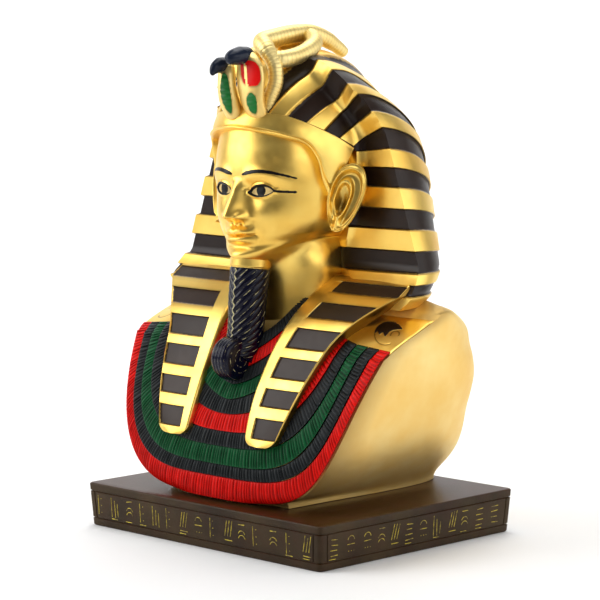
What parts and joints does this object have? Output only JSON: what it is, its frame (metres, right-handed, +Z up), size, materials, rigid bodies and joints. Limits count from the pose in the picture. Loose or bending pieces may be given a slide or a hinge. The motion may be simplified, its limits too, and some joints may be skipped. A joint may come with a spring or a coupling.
{
  "type": "pharaoh figure",
  "caption": "Souvenir bust of a pharaoh in a striped royal headcloth, with false beard and broad banded collar, standing on a low rectangular plinth.",
  "frame": {"origin": "middle of the plinth's underside", "axes": "+Z up to the crown, -Y the way the face looks, +X the figure's left"},
  "size_m": [0.1576, 0.1258, 0.2303],
  "materials": {
    "gold_painted_resin": "gold paint on cast resin, burnished to a soft metal shine, with coloured enamel in the collar and dark stripes",
    "brown_painted_resin": "dark brown paint on cast resin, semi-gloss, with gold rubbed into shallow strokes"
  },
  "bodies": {
    "root": {"bust": "gold_painted_resin", "plinth": "brown_painted_resin"}
  },
  "joints": []
}
